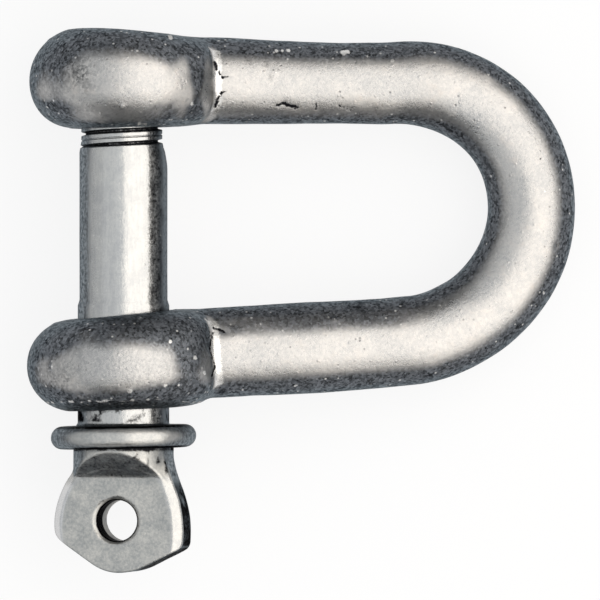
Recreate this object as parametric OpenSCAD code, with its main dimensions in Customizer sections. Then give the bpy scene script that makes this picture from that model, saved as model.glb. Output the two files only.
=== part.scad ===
// Chain joining shackle: a dee-shaped bow forged from round bar, closed by a collared
// screw pin. The pin passes through the plain lug, screws into the threaded lug and is
// turned by the flat eye on its head.
//
// Sizes are millimetres. The origin is on the pin's axis, level with the middle of the
// bend. The pin runs along Y and the bend points along +X. The shackle lies as it comes
// to rest on a table, on the rims of both lugs and the crown of the bend.

/* [Bow] */
// Diameter of the round bar
bar_d = 10; // [7:0.1:13]
// Radius of the bend, to the middle of the bar
bend_r = 14.8; // [12:0.1:22]
// Amount by which forging has drawn the arms thinner than the bend
arm_draw = 0.1; // [0.1:0.02:0.6]
// Distance from the pin's axis to the centre of the bend
pin_to_bend = 32; // [24:0.5:60]
// Outward lean of the arm that ends in the threaded lug, in degrees
threaded_arm_lean = 0.4; // [0:0.1:5]
// Outward lean of the arm that ends in the plain lug, in degrees
plain_arm_lean = 3.6; // [0:0.1:5]

/* [Lugs] */
// Radius of a lug around the pin
lug_r = 11; // [9.5:0.1:14]
// Thickness of a lug along the pin; its rim is full round
lug_t = 10.9; // [8:0.1:14]
// Countersink at both mouths of a pin hole
mouth_chamfer = 0.4; // [0.1:0.1:0.8]

/* [Pin shank] */
// Diameter of the shank across the jaw
shank_d = 10; // [8:0.1:11]
// Diameter of the shank's root, inside the plain lug
root_d = 10.4; // [10:0.1:12]
// Length of the root that shows in the jaw
root_proud = 0.8; // [0.5:0.1:3]
// Length of the taper from the root to the shank
root_taper = 0.6; // [0.2:0.1:2]
// Outside diameter of the thread
thread_d = 9.6; // [7:0.1:9.9]
// Length of the taper from the shank to the thread
shoulder_taper = 1.2; // [0.3:0.1:3]
// Chamfer at the tip of the thread
tip_chamfer = 1; // [0.2:0.1:2]
// Depth of the tip inside the threaded lug when the pin is home
tip_inset = 0.3; // [0:0.1:3]

/* [Pin head] */
// Diameter of the collar
collar_d = 16.5; // [13:0.1:20]
// Thickness of the collar, which has a full-round edge
collar_t = 2.6; // [1.5:0.1:5]
// Diameter of the round neck below the collar
neck_d = 11.4; // [9:0.1:13]
// Distance from the collar to where the neck starts to flatten
ramp_start = 0.4; // [0.2:0.1:2]
// Distance from the collar to the flat of the eye
ramp_end = 3.2; // [2.4:0.1:5]
// Length of the head, from the collar to the tip of the eye
eye_len = 14.1; // [12:0.1:22]
// Width of the eye
eye_w = 15; // [13.5:0.1:20]
// Thickness of the eye
eye_t = 5; // [3:0.1:8]
// Distance from the collar to where the eye grows wider than the neck
eye_flare_start = 2.4; // [1:0.1:4]
// Distance from the tip of the eye to its widest place
eye_tip_to_widest = 4.8; // [4:0.1:6]
// Slope of the two straight edges at the tip, in degrees
eye_tip_slope = 30; // [20:1:35]
// Radius between those two edges
eye_tip_r = 7; // [3:0.1:9]
// Bevel along the eye's two sides, measured across its face
eye_bevel_w = 0.8; // [0.3:0.1:1.5]
// Bevel along the eye's two sides, measured through its thickness
eye_bevel_t = 0.9; // [0.3:0.1:1.4]
// Diameter of the hole in the eye
eye_hole_d = 4.7; // [3:0.1:7]
// Distance from the tip of the eye to the middle of the hole
eye_tip_to_hole = 5.9; // [5.5:0.1:9]
// Chamfer at both mouths of the hole
eye_hole_chamfer = 0.4; // [0.1:0.1:0.8]

/* [Fit and pose] */
// Distance the pin stands unscrewed from home, one turn of its thread
backed_off = 1.25; // [0:0.05:6]
// Angle of the eye to the plane of the bow, in degrees
pin_turn = 22; // [-90:1:90]
// Gap left at the collar and at the thread's shoulder when the pin is home
seat_clear = 0.3; // [0.1:0.1:1]
// Radial clearance around the root of the shank
shank_clear = 0.4; // [0.1:0.05:1]
// Radial clearance around the thread
thread_clear = 0.05; // [0.02:0.01:0.1]

/* [Hidden] */
$fn = 96;
zinc = [0.62, 0.63, 0.64];
bright_zinc = [0.72, 0.72, 0.71];
cut_past = 1;
arm_lap = 1;

// Radius of the flat on a lug's face, inside its full-round rim
flat_r = lug_r - lug_t / 2;

// Height along the pin of a lug's middle and of its faces, for an arm with that lean.
// Outside is 1 for the face away from the jaw and -1 for the face towards it.
function lug_y(lean) = bend_r / cos(lean) + pin_to_bend * tan(lean);
function face_y(lean, outside) = lug_y(lean) + outside * lug_t / 2 / cos(lean);

// The bow leans on its lugs, which are wider than the bar
rest_tilt = asin((lug_r - bar_d / 2) / (pin_to_bend + bend_r));

// A leaning lug meets the collar first at the low edge of its flat
collar_gap = backed_off + flat_r * tan(plain_arm_lean) + seat_clear;
seat_y = -face_y(plain_arm_lean, 1) - collar_gap;

// Heights on the pin, measured from the collar's seat towards the tip
tip_z = face_y(threaded_arm_lean, 1) - backed_off - tip_inset - seat_y;
shoulder_z = face_y(threaded_arm_lean, -1) - backed_off - seat_clear - seat_y;
root_z = root_proud - face_y(plain_arm_lean, -1) - seat_y;

// The eye's sides are arcs that leave the edge of the neck and are widest near the tip
eye_widest = eye_len - eye_tip_to_widest;
eye_spread = (eye_w - neck_d) / 2;
eye_reach = eye_widest - eye_flare_start;
eye_side_r = (pow(eye_spread, 2) + pow(eye_reach, 2)) / (2 * eye_spread);

// The whole shackle, tipped about the pin's axis until the bend touches the table
module at_rest() {
    rotate([0, rest_tilt, 0]) children();
}

// A shape drawn along Z from the collar's seat, set on the pin's axis in the bow
module on_pin_axis() {
    translate([0, seat_y, 0]) rotate([-90, 0, 0]) children();
}

// The place of a lug at the end of its arm. Side is 1 for the threaded lug, -1 for the plain one.
module at_lug(lean, side) {
    translate([0, side * lug_y(lean), 0]) rotate([-90, 0, -side * lean]) children();
}

// Bend of the bow, a round bar turned through nearly half a circle
module bend() {
    translate([pin_to_bend, 0, 0])
        rotate([0, 0, plain_arm_lean - 90])
            rotate_extrude(angle = 180 - threaded_arm_lean - plain_arm_lean)
                translate([bend_r, 0]) circle(d = bar_d);
}

// Straight bar from inside the end of the bend to the middle of a lug
module arm(lean, side) {
    length = (pin_to_bend + bend_r * sin(lean)) / cos(lean);
    translate([pin_to_bend, 0, 0])
        rotate([0, 0, -side * lean])
            translate([arm_lap, side * bend_r, 0])
                rotate([0, -90, 0]) cylinder(d = bar_d - arm_draw, h = length + arm_lap);
}

// Half section of a lug, a thick disc with a full-round rim
module lug_section() {
    intersection() {
        union() {
            translate([0, -lug_t / 2]) square([flat_r, lug_t]);
            translate([flat_r, 0]) circle(d = lug_t);
        }
        translate([0, -lug_t]) square([2 * lug_r, 2 * lug_t]);
    }
}

module lug(lean, side) {
    at_lug(lean, side) rotate_extrude() lug_section();
}

// Hole along the pin's axis through one lug, countersunk at both faces
module pin_hole(lean, side, hole_r) {
    inner = face_y(lean, -1);
    outer = face_y(lean, 1);
    wide_r = hole_r + mouth_chamfer + cut_past;
    deep = mouth_chamfer + cut_past;
    rotate([-90 * side, 0, 0]) {
        translate([0, 0, inner - lug_t / 2]) cylinder(r = hole_r, h = outer - inner + lug_t);
        translate([0, 0, outer - mouth_chamfer]) cylinder(r1 = hole_r, r2 = wide_r, h = deep);
        translate([0, 0, inner - cut_past]) cylinder(r1 = wide_r, r2 = hole_r, h = deep);
    }
}

module bow() {
    color(zinc) at_rest() difference() {
        union() {
            bend();
            arm(threaded_arm_lean, 1);
            arm(plain_arm_lean, -1);
            lug(threaded_arm_lean, 1);
            lug(plain_arm_lean, -1);
        }
        pin_hole(threaded_arm_lean, 1, thread_d / 2 + thread_clear);
        pin_hole(plain_arm_lean, -1, root_d / 2 + shank_clear);
    }
}

// Half section of the pin from the tip of the thread down to the collar
module shank_section() {
    polygon([
        [0, 0],
        [root_d / 2, 0],
        [root_d / 2, root_z],
        [shank_d / 2, root_z + root_taper],
        [shank_d / 2, shoulder_z - shoulder_taper],
        [thread_d / 2, shoulder_z],
        [thread_d / 2, tip_z - tip_chamfer],
        [thread_d / 2 - tip_chamfer, tip_z],
        [0, tip_z]
    ]);
    translate([0, -collar_t]) square([(collar_d - collar_t) / 2, collar_t]);
    translate([(collar_d - collar_t) / 2, -collar_t / 2]) circle(d = collar_t);
}

// Round neck that two ramps flatten to the thickness of the eye, drawn away from the collar
module neck() {
    intersection() {
        cylinder(d = neck_d, h = ramp_end);
        rotate([90, 0, 90]) linear_extrude(neck_d + cut_past, center = true) polygon([
            [-neck_d / 2, 0],
            [neck_d / 2, 0],
            [neck_d / 2, ramp_start],
            [eye_t / 2, ramp_end],
            [-eye_t / 2, ramp_end],
            [-neck_d / 2, ramp_start]
        ]);
    }
}

// Outline of the eye's tip, two sloping edges with a round between them
module tip_outline() {
    centre = eye_len - eye_tip_r;
    round_x = eye_tip_r * sin(eye_tip_slope);
    round_y = centre + eye_tip_r * cos(eye_tip_slope);
    edge_y = round_y - (eye_w - round_x) * tan(eye_tip_slope);
    polygon([
        [-eye_w, ramp_start],
        [eye_w, ramp_start],
        [eye_w, edge_y],
        [round_x, round_y],
        [-round_x, round_y],
        [-eye_w, edge_y]
    ]);
    translate([0, centre]) circle(eye_tip_r);
}

// Disc whose bevelled edge is one side of the eye
module side_disc() {
    rotate_extrude() polygon([
        [0, -eye_t / 2],
        [eye_side_r - eye_bevel_w, -eye_t / 2],
        [eye_side_r, eye_bevel_t - eye_t / 2],
        [eye_side_r, eye_t / 2 - eye_bevel_t],
        [eye_side_r - eye_bevel_w, eye_t / 2],
        [0, eye_t / 2]
    ]);
}

// Flat eye with bevelled sides, drawn away from the collar
module eye_plate() {
    rotate([90, 0, 0]) intersection() {
        translate([eye_w / 2 - eye_side_r, eye_widest, 0]) side_disc();
        translate([eye_side_r - eye_w / 2, eye_widest, 0]) side_disc();
        linear_extrude(eye_t + cut_past, center = true) tip_outline();
    }
}

// Hole through the eye, chamfered at both faces
module eye_hole() {
    deep = eye_hole_chamfer + cut_past;
    translate([0, 0, eye_len - eye_tip_to_hole]) rotate([90, 0, 0]) {
        cylinder(d = eye_hole_d, h = eye_t + 2 * cut_past, center = true);
        for (side = [-1, 1])
            rotate([90 - 90 * side, 0, 0])
                translate([0, 0, eye_t / 2 - eye_hole_chamfer])
                    cylinder(d1 = eye_hole_d, d2 = eye_hole_d + 2 * deep, h = deep);
    }
}

module head() {
    translate([0, 0, -collar_t]) mirror([0, 0, 1]) difference() {
        union() {
            neck();
            eye_plate();
        }
        eye_hole();
    }
}

module screw_pin() {
    color(bright_zinc) at_rest() on_pin_axis() rotate([0, 0, -pin_turn]) {
        rotate_extrude() shank_section();
        head();
    }
}

bow();
screw_pin();
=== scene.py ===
"""Looks of a chain joining shackle: a galvanised bow and its screw pin on a pale studio floor."""

import logging
import math
from dataclasses import dataclass, field
from enum import Enum
from itertools import product
from typing import Any, Callable, Sequence

import bpy
import numpy as np
from mathutils import Euler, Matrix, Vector


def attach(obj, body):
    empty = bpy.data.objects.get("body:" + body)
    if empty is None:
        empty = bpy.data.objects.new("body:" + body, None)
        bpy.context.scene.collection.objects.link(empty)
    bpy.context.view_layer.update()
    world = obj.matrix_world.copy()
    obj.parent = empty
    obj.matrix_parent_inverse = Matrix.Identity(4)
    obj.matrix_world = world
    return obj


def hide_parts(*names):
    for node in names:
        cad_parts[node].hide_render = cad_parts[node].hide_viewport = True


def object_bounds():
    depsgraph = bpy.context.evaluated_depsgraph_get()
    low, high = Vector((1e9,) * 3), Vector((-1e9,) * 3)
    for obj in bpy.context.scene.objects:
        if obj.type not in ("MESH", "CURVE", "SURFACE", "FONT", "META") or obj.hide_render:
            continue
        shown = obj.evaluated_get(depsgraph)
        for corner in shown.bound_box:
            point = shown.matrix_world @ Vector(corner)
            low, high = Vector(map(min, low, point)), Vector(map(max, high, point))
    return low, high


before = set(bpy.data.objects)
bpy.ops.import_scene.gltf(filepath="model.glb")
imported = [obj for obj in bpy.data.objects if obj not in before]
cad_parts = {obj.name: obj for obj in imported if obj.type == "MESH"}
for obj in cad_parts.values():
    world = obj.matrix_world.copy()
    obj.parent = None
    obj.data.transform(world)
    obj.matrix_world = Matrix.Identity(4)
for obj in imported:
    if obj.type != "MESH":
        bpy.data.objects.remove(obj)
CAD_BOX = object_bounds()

Array = np.ndarray
Field = Callable[[Array], Array]
Knots = Sequence[tuple[float, float]]
Colour = tuple[float, float, float]
Span = tuple[float, float]
Corner = tuple[float, float, float]

MM = 0.001
AXIS_R = 0.03
log = logging.getLogger("shackle")


class Value:
    """A shader socket that takes part in Python arithmetic."""

    def __init__(self, graph: "Graph", socket: bpy.types.NodeSocket) -> None:
        """Keeps the socket and the graph that its Math nodes go into."""
        self.graph = graph
        self.socket = socket

    def _math(self, operation: str, first: Any, second: Any) -> "Value":
        """One Math node's result for two numbers or Values."""
        return self.graph.node("ShaderNodeMath", {"operation": operation}, {0: first, 1: second})

    def __add__(self, other: Any) -> "Value":
        """This plus other."""
        return self._math("ADD", self, other)

    def __radd__(self, other: Any) -> "Value":
        """Other plus this."""
        return self._math("ADD", other, self)

    def __sub__(self, other: Any) -> "Value":
        """This less other."""
        return self._math("SUBTRACT", self, other)

    def __rsub__(self, other: Any) -> "Value":
        """Other less this."""
        return self._math("SUBTRACT", other, self)

    def __mul__(self, other: Any) -> "Value":
        """This times other."""
        return self._math("MULTIPLY", self, other)

    def __rmul__(self, other: Any) -> "Value":
        """Other times this."""
        return self._math("MULTIPLY", other, self)

    def step(self, low: float, high: float) -> "Value":
        """Eases from 0 where this is low to 1 where it is high."""
        settings = {"interpolation_type": "SMOOTHSTEP"}
        return self.graph.node("ShaderNodeMapRange", settings, {0: self, 1: low, 2: high})


class Graph:
    """The node tree of one material, filled by one method."""

    def __init__(self, name: str) -> None:
        """Starts an empty material.

        Args:
            name: the material's name.
        """
        self.material = bpy.data.materials.new(name)
        self.material.use_nodes = True
        self.tree = self.material.node_tree
        self.tree.nodes.clear()

    def _add(self, kind: str, settings: dict[str, Any], inputs: dict[Any, Any]) -> bpy.types.Node:
        """Adds a bare node.

        Args:
            kind: Blender's type name of the node.
            settings: its settings.
            inputs: numbers, colours or Values by socket name or number.

        Returns:
            The node.
        """
        made = self.tree.nodes.new(kind)
        for key, setting in settings.items():
            setattr(made, key, setting)
        for key, given in inputs.items():
            if isinstance(given, Value):
                self.tree.links.new(given.socket, made.inputs[key])
            else:
                made.inputs[key].default_value = given
        return made

    def node(self, kind: str, settings: dict[str, Any], inputs: dict[Any, Any], output: Any = 0) -> Value:
        """Adds a node as _add does, and gives the named or numbered output socket."""
        return Value(self, self._add(kind, settings, inputs).outputs[output])

    def mix(self, factor: Any, first: Any, second: Any) -> Value:
        """Mixes two colours.

        Args:
            factor: share of the second colour.
            first: a colour or a Value.
            second: a colour or a Value.

        Returns:
            The mixed colour.
        """
        colours = [c if isinstance(c, Value) else (*c, 1.0) for c in (first, second)]
        inputs = {0: factor, 6: colours[0], 7: colours[1]}
        return self.node("ShaderNodeMix", {"data_type": "RGBA"}, inputs, 2)

    def place(self) -> Value:
        """The point on the object, in metres."""
        return self.node("ShaderNodeTexCoord", {}, {}, "Object")

    def stretched(self, point: Value, scale: Colour) -> Value:
        """The point with each axis scaled, for marks that run one way."""
        return self.node("ShaderNodeMapping", {}, {"Vector": point, "Scale": scale})

    def noise(self, point: Value, size_mm: float, detail: float = 3.0, rough: float = 0.55) -> Value:
        """Noise of about 0 to 1, with lumps of that size and that many finer octaves."""
        inputs = {"Vector": point, "Scale": 1.0 / (size_mm * MM), "Detail": detail, "Roughness": rough}
        return self.node("ShaderNodeTexNoise", {}, inputs, "Fac")

    def cells(self, point: Value, size_mm: float, output: str) -> Value:
        """Random cells of that size: "Distance" from a cell's middle, or its "Color"."""
        inputs = {"Vector": point, "Scale": 1.0 / (size_mm * MM)}
        return self.node("ShaderNodeTexVoronoi", {}, inputs, output)

    def glint_spots(self, point: Value, size_mm: float, reach: float, chance: Span) -> Value:
        """Zinc beads in the cells of that size whose colour passes the chance, from 0 to 1, which the
        finishes bump and paint bright as glints.
        """
        near = 1.0 - self.cells(point, size_mm, "Distance").step(0.1, reach)
        return near * self.cells(point, size_mm, "Color").step(*chance)

    def mark(self, mark: "Mark") -> Value:
        """A number that the mesh's points carry, or 0 where they don't."""
        return self.node("ShaderNodeAttribute", {"attribute_name": mark.value}, {}, "Fac")

    def bump(self, height: Value, depth_mm: float, strength: float) -> Value:
        """A normal bumped by a height of 0 to 1, where 1 is that many millimetres."""
        inputs = {"Strength": strength, "Distance": depth_mm * MM, "Height": height}
        return self.node("ShaderNodeBump", {}, inputs)

    def turned_away(self) -> Value:
        """How far the surface turns from the eye, 0 face on and 1 edge on."""
        return self.node("ShaderNodeLayerWeight", {}, {"Blend": 0.5}, "Facing")

    def metal(self, colour: Value, rough: Value, tint: float, normal: Value) -> bpy.types.Material:
        """Ends the tree with a metal.

        Args:
            colour: its colour.
            rough: its roughness.
            tint: brightness of its edge, where it is seen at a glance.
            normal: its bumped normal.

        Returns:
            The finished material.
        """
        return self.surface(self.node("ShaderNodeBsdfPrincipled", {}, {
            "Base Color": colour,
            "Metallic": 1.0,
            "Roughness": rough,
            "Specular Tint": (tint, tint, tint, 1.0),
            "Normal": normal,
        }))

    def surface(self, shader: Value) -> bpy.types.Material:
        """Ends the tree with the shader and gives the finished material."""
        self._add("ShaderNodeOutputMaterial", {}, {"Surface": shader})
        return self.material


class Mark(Enum):
    """Numbers that the meshes carry for their finishes and for their painted shade and highlights."""

    # Soil and painted shade, both painted black.
    SOIL_AND_SHADE = "soil"
    SCAR = "scar"
    # Painted highlight.
    GLINT = "glint"
    # Shifts where the painted shade begins.
    SHADE_SHIFT = "dull"
    PITTED = "pitted"
    SATIN = "satin"


@dataclass(frozen=True)
class GalvanisedForging:
    """Dull zinc over a forged skin: gritty, faintly mottled, with pits and cracks, and with painted shade
    on flanks seen at a slant, painted reflection near the outline and painted glints.
    """

    light: Colour = (0.582, 0.562, 0.540)
    dark: Colour = (0.412, 0.412, 0.412)
    warm: Colour = (0.58, 0.525, 0.48)
    painted_highlight: Colour = (0.95, 0.94, 0.92)
    shade_dark: Colour = (0.006, 0.008, 0.011)
    shade_grit: Colour = (0.205, 0.222, 0.247)
    edge_reflection_dark: Colour = (0.046, 0.060, 0.075)
    edge_reflection_light: Colour = (0.390, 0.450, 0.495)
    black: Colour = (0.013, 0.013, 0.016)
    edge_tint: float = 0.3
    roughness: float = 0.28

    def material(self) -> bpy.types.Material:
        """Builds the finish.

        Returns:
            The material.
        """
        g = Graph("galvanised_forging")
        point = g.place()
        grain = g.noise(point, 0.4, 4.0, 0.8)
        blotch = g.noise(point, 4.2, 3.0, 0.55)
        peel = g.noise(point, 1.1, 2.0, 0.5)
        pits = 1.0 - g.cells(point, 0.85, "Distance").step(0.06, 0.22)
        pits = pits * g.noise(point, 2.6, 1.0, 0.5).step(0.54, 0.68)
        # Small zinc beads, bumped and painted bright as glints.
        glint_spots = g.glint_spots(point, 0.7, 0.28, (0.68, 0.74))
        ragged = (g.noise(point, 0.34, 3.0, 0.7) - 0.5) * 0.9
        scar = (g.mark(Mark.SCAR) + ragged).step(0.70, 0.92)
        # Painted glint from the mesh's glint mark, broken up by grain.
        glint = (g.mark(Mark.GLINT) + (grain - 0.5) * 0.7).step(0.50, 0.72)
        # Painted shade: the base colour darkens where the surface is seen at a slant, shifted by the bow's
        # shade mark and lifted under a painted glint.
        facing = g.turned_away() + (grain - 0.5) * 0.10
        rim = (facing + g.mark(Mark.SHADE_SHIFT)).step(0.13, 0.35) * (1.0 - glint * 0.9)
        spangle = g.cells(point, 0.27, "Color")
        gritty = (grain * 0.45 + spangle * 0.35 + peel * 0.2).step(0.28, 0.72)
        zinc = g.mix(blotch.step(0.32, 0.68) * 0.45 + gritty * 0.55, self.dark, self.light)
        zinc = g.mix(peel.step(0.5, 0.8) * blotch.step(0.4, 0.7) * 0.5, zinc, self.warm)
        # Colour of the painted shade: near-black with lighter grit.
        painted_shade = g.mix(gritty, self.shade_dark, self.shade_grit)
        # Near the outline the painted shade turns to a lighter bluish painted reflection.
        painted_shade = g.mix(facing.step(0.42, 0.9), painted_shade, g.mix(gritty, self.edge_reflection_dark, self.edge_reflection_light))
        # Glint spots are painted bright within the painted shade.
        painted_shade = g.mix(glint_spots * 0.7, painted_shade, self.painted_highlight)
        zinc = g.mix(rim * 0.95, zinc, painted_shade)
        # Painted highlight where the glint mark is.
        zinc = g.mix(glint * 0.65, zinc, self.painted_highlight)
        # Pits and pitted patches take the same near-black as the painted shade.
        zinc = g.mix(g.mark(Mark.PITTED) * (1.0 - gritty) * 0.9, zinc, self.shade_dark)
        # The soil mark darkens the tapped hole's wall as painted shade.
        zinc = g.mix(pits * 0.4 + g.mark(Mark.SOIL_AND_SHADE) * 0.6, zinc, self.black)
        zinc = g.mix(scar, zinc, self.black)
        rough = self.roughness + (blotch - 0.5) * 0.14 + (grain - 0.5) * 0.2 + scar * 0.3 + rim * 0.16
        height = grain * 0.9 + peel * 0.5 + glint_spots * 0.5 - pits * 0.7 - scar * 1.4
        return g.metal(zinc, rough, self.edge_tint, g.bump(height, 0.08, 0.7))


@dataclass(frozen=True)
class BrightZinc:
    """Brighter zinc on the drawn pin, streaked along the shank and satin on the head, with painted shade on
    its slanting sides, painted reflection near the outline and painted highlights.
    """

    light: Colour = (0.61, 0.605, 0.585)
    dark: Colour = (0.45, 0.455, 0.46)
    satin: Colour = (0.60, 0.585, 0.55)
    dull: Colour = (0.33, 0.34, 0.34)
    shade_dark: Colour = (0.036, 0.043, 0.050)
    shade_grit: Colour = (0.21, 0.232, 0.252)
    edge_reflection_dark: Colour = (0.105, 0.128, 0.148)
    edge_reflection_light: Colour = (0.40, 0.45, 0.49)
    painted_highlight: Colour = (0.93, 0.93, 0.95)
    black: Colour = (0.013, 0.013, 0.015)
    edge_tint: float = 0.3
    roughness: float = 0.24

    def material(self) -> bpy.types.Material:
        """Builds the finish.

        Returns:
            The material.
        """
        g = Graph("bright_zinc_pin")
        point = g.place()
        streak = g.noise(g.stretched(point, (1.0, 0.12, 1.0)), 0.34, 3.0, 0.65)
        grain = g.noise(point, 0.34, 3.0, 0.7)
        blotch = g.noise(point, 1.9, 3.0, 0.6)
        # Small zinc beads that lift the painted shade as glints.
        glint_spots = g.glint_spots(point, 0.66, 0.26, (0.70, 0.76))
        head = g.mark(Mark.SATIN)
        # Painted shade: the base colour darkens where the surface is seen at a slant, lifted under a
        # painted glint.
        away = g.turned_away() + (grain - 0.5) * 0.10
        glint = g.mark(Mark.GLINT)
        rim = away.step(0.19, 0.46) * (1.0 - glint.step(0.0, 1.0) * 0.95)
        gritty = grain.step(0.34, 0.66)
        shade = blotch.step(0.3, 0.7) * 0.4 + streak.step(0.3, 0.7) * 0.35 + gritty * 0.25
        zinc = g.mix(shade, self.dark, self.light)
        mottle = gritty * 0.5 + blotch.step(0.3, 0.7) * 0.5
        zinc = g.mix(head, zinc, g.mix(mottle, self.dull, self.satin))
        # Colour of the painted shade with lighter grit, turning to a lighter bluish painted reflection near
        # the outline.
        painted_shade = g.mix(gritty * 0.6 + streak.step(0.4, 0.6) * 0.4, self.shade_dark, self.shade_grit)
        painted_shade = g.mix(away.step(0.38, 0.76), painted_shade, g.mix(gritty, self.edge_reflection_dark, self.edge_reflection_light))
        painted_shade = g.mix(glint_spots * 0.55, painted_shade, self.light)
        zinc = g.mix(rim * 0.92, zinc, painted_shade)
        # Extra painted highlight where the glint mark passes 1, on one bevel of the eye.
        zinc = g.mix(glint.step(1.0, 2.0) * 0.42, zinc, self.painted_highlight)
        # Soil mark, painted black in steps: grime blotches and painted shade.
        soil = g.mark(Mark.SOIL_AND_SHADE) + (grain - 0.5) * 0.9
        zinc = g.mix(soil.step(0.14, 0.60), zinc, self.black)
        rough = self.roughness + (blotch - 0.5) * 0.10 + (grain - 0.5) * 0.16 + head * 0.12 + rim * 0.14
        height = streak * (1.0 - head) * 0.35 + grain * (0.5 + head * 0.4) + blotch * 0.9 + glint_spots * 0.4
        return g.metal(zinc, rough, self.edge_tint, g.bump(height, 0.06, 0.6))


@dataclass(frozen=True)
class PaleFloor:
    """White paper under the shackle, which still takes its shadow."""

    colour: Colour = (0.835, 0.835, 0.84)
    shade: Colour = (0.82, 0.82, 0.825)
    white: float = 0.84

    def material(self) -> bpy.types.Material:
        """Builds the finish.

        Returns:
            The material.
        """
        g = Graph("pale_floor")
        paper = g.mix(g.noise(g.place(), 40.0, 2.0, 0.5), self.shade, self.colour)
        seen = g.node("ShaderNodeLightPath", {}, {}, "Is Camera Ray")
        seen = seen + g.node("ShaderNodeLightPath", {}, {}, "Is Glossy Ray")
        seen = seen + g.node("ShaderNodeLightPath", {}, {}, "Is Transmission Ray")
        matt = g.node("ShaderNodeBsdfPrincipled", {}, {
            "Base Color": paper, "Roughness": 0.9, "Specular IOR Level": 0.0})
        glow = g.node("ShaderNodeEmission", {}, {"Color": (1.0, 1.0, 1.0, 1.0), "Strength": 1.0})
        return g.surface(g.node("ShaderNodeMixShader", {}, {0: seen * self.white, 1: matt, 2: glow}))


class Unevenness:
    """Smooth seeded noise in space, for the unevenness of forged metal."""

    CELLS = 32

    def __init__(self, seed: int) -> None:
        """Fills the lattice from the seed."""
        self.lattice = np.random.default_rng(seed).uniform(-1.0, 1.0, (self.CELLS,) * 3)

    def at(self, points: Array, size: float) -> Array:
        """Noise at points.

        Args:
            points: places in millimetres, one a row.
            size: size of a lump in millimetres.

        Returns:
            A number from -1 to 1 for each point.
        """
        scaled = points / size
        base = np.floor(scaled).astype(int)
        part = scaled - base
        part = part * part * (3.0 - 2.0 * part)
        total = np.zeros(len(points))
        for corner in product((0, 1), repeat=3):
            weight = np.prod(np.where(corner, part, 1.0 - part), axis=1)
            i, j, k = ((base + corner) % self.CELLS).T
            total += weight * self.lattice[i, j, k]
        return total


def eased(at: Array, knots: Knots) -> Array:
    """Goes smoothly from knot to knot.

    Args:
        at: where to read the curve.
        knots: places and levels, in rising order of place.

    Returns:
        The level at each place.
    """
    level = np.full(np.shape(at), knots[0][1], float)
    for (x0, y0), (x1, y1) in zip(knots, knots[1:]):
        part = np.clip((at - x0) / (x1 - x0), 0.0, 1.0)
        level += (y1 - y0) * part * part * (3.0 - 2.0 * part)
    return level


def joined(first: Array, second: Array, blend: Any) -> Array:
    """Distance to two solids joined with a fillet of about that size."""
    part = np.clip(0.5 + 0.5 * (second - first) / blend, 0.0, 1.0)
    return second * (1.0 - part) + first * part - blend * part * (1.0 - part)


def shared(first: Array, second: Array, blend: float) -> Array:
    """Distance to what two solids share, with its edge rounded by about that size."""
    return -joined(-first, -second, blend)


@dataclass
class Skin:
    """A mesh in millimetres, before it becomes a Blender object."""

    points: Array
    quads: Array
    marks: dict[Mark, Array] = field(default_factory=dict)

    def __add__(self, other: "Skin") -> "Skin":
        """Two skins as one mesh.

        Args:
            other: the skin to add.

        Returns:
            The joint skin, with a mark at 0 on the skin that lacks it.
        """
        names = set(self.marks) | set(other.marks)
        marks = {name: np.concatenate([s.marks.get(name, np.zeros(len(s.points))) for s in (self, other)])
                 for name in names}
        quads = np.concatenate([self.quads, other.quads + len(self.points)])
        return Skin(np.concatenate([self.points, other.points]), quads, marks)

    def object(self, name: str, tilt: float, material: bpy.types.Material) -> bpy.types.Object:
        """Makes the Blender object, tipped to the pose at rest.

        Args:
            name: the piece's name.
            tilt: turn about the pin's axis, in radians.
            material: its finish.

        Returns:
            The object, in metres.
        """
        turned = self.points @ np.array(Euler((0.0, tilt, 0.0)).to_matrix()).T * MM
        turned[:, 2] = np.maximum(turned[:, 2], CAD_BOX[0].z)
        mesh = bpy.data.meshes.new(name)
        mesh.vertices.add(len(turned))
        mesh.vertices.foreach_set("co", turned.ravel())
        mesh.loops.add(self.quads.size)
        mesh.loops.foreach_set("vertex_index", self.quads.ravel().astype(np.int32))
        mesh.polygons.add(len(self.quads))
        mesh.polygons.foreach_set("loop_start", np.arange(0, self.quads.size, 4, dtype=np.int32))
        mesh.update(calc_edges=True)
        mesh.shade_smooth()
        for mark, levels in self.marks.items():
            stored = mesh.attributes.new(mark.value, "FLOAT", "POINT")
            stored.data.foreach_set("value", levels.astype(np.float32))
        mesh.materials.append(material)
        made = bpy.data.objects.new(name, mesh)
        bpy.context.scene.collection.objects.link(made)
        return made


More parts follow.
